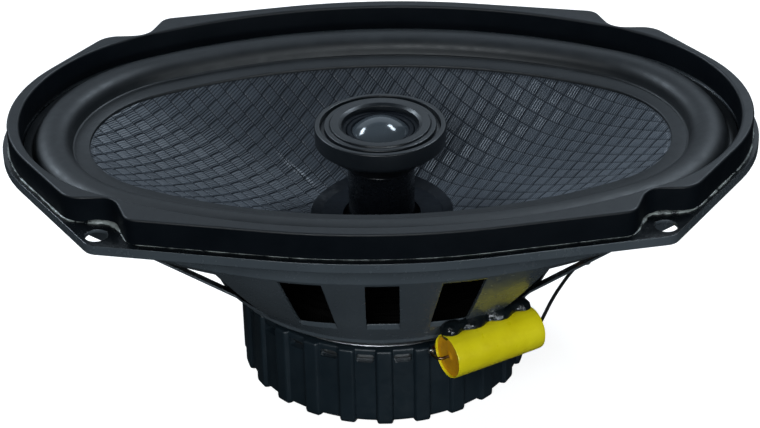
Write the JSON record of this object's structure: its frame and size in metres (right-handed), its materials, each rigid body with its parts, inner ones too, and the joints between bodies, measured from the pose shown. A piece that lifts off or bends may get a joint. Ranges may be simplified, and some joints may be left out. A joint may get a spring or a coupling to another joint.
{
  "type": "coaxial car speaker",
  "caption": "Oval 6x9 coaxial car speaker: woven cone with rubber surround, post-mounted dome tweeter, slotted steel basket, ribbed magnet boot and a crossover capacitor.",
  "frame": {"origin": "centre of the mounting flange, on its top face", "axes": "+X along the long axis towards the terminals, +Z out of the front of the speaker"},
  "size_m": [0.235, 0.1588, 0.0884],
  "materials": {
    "painted_steel": "satin black enamel over stamped steel",
    "gasket_rubber": "matte moulded gasket rubber",
    "surround_rubber": "matte butyl rubber",
    "woven_cone": "pressed woven cloth, cross-laid squares",
    "neck_paper": "glue-soaked collar",
    "spider_cloth": "dark resin-dipped corrugated cloth",
    "former_foil": "thin rolled foil",
    "copper_wire": "enamelled copper winding",
    "bare_steel": "zinc-plated steel",
    "ferrite": "pressed ferrite",
    "boot_rubber": "moulded rubber, blue-black",
    "tweeter_plastic": "smooth black plastic",
    "tweeter_ring": "satin black plastic",
    "dome_film": "coated grey dome",
    "magnet_plating": "nickel-plated magnet",
    "foam": "felt pad",
    "capacitor_wrap": "yellow film wrap with epoxy ends",
    "glue": "glossy black adhesive",
    "board": "phenolic board",
    "tinned_brass": "tinned brass",
    "tinsel": "braided copper tinsel",
    "wire_black": "black wire insulation",
    "wire_red": "dark red-brown wire insulation",
    "solder": "solder"
  },
  "bodies": {
    "basket": {"basket": "painted_steel", "basket_rivets": "bare_steel", "capacitor": "capacitor_wrap", "capacitor_lead_inner": "solder", "capacitor_lead_outer": "wire_black", "gasket_ring": "gasket_rubber", "glue_bead": "glue", "magnet_boot": "boot_rubber", "magnet_ring": "ferrite", "shorting_ring": "copper_wire", "solder_joints": "solder", "stem_lock_nut": "bare_steel", "stem_washer": "bare_steel", "terminal_board": "board", "terminal_negative": "tinned_brass", "terminal_positive": "tinned_brass", "terminal_rivets": "tinned_brass", "tinsel_lead_negative": "tinsel", "tinsel_lead_positive": "tinsel", "top_plate": "bare_steel", "tweeter_clamp_ring": "tweeter_ring", "tweeter_cup": "tweeter_plastic", "tweeter_damping_pad": "foam", "tweeter_magnet": "magnet_plating", "tweeter_pole_plate": "bare_steel", "tweeter_pot": "bare_steel", "tweeter_stem": "tweeter_plastic", "tweeter_trim_ring": "tweeter_ring", "tweeter_wire_negative": "wire_black", "tweeter_wire_positive": "wire_red", "yoke": "bare_steel"},
    "cone": {"cone": "woven_cone", "neck_ring": "neck_paper", "voice_coil_former": "former_foil", "voice_coil_winding": "copper_wire", "cone_eyelets": "tinned_brass", "surround": "surround_rubber", "spider": "spider_cloth"},
    "tweeter_dome": {"tweeter_dome": "dome_film", "tweeter_coil_former": "former_foil", "tweeter_coil_winding": "copper_wire", "tweeter_suspension": "surround_rubber"}
  },
  "joints": [
    {"name": "cone_excursion", "type": "slide", "parent": "basket", "child": "cone", "axis": [0, 0, 1], "range_m": [-0.0045, 0.0045], "stiffness_N_per_m": 2500, "deforming": ["surround", "spider", "tinsel_lead_positive", "tinsel_lead_negative"]},
    {"name": "tweeter_excursion", "type": "slide", "parent": "basket", "child": "tweeter_dome", "axis": [0, 0, 1], "range_m": [-0.0003, 0.0003], "stiffness_N_per_m": 1500, "deforming": ["tweeter_suspension"]}
  ]
}
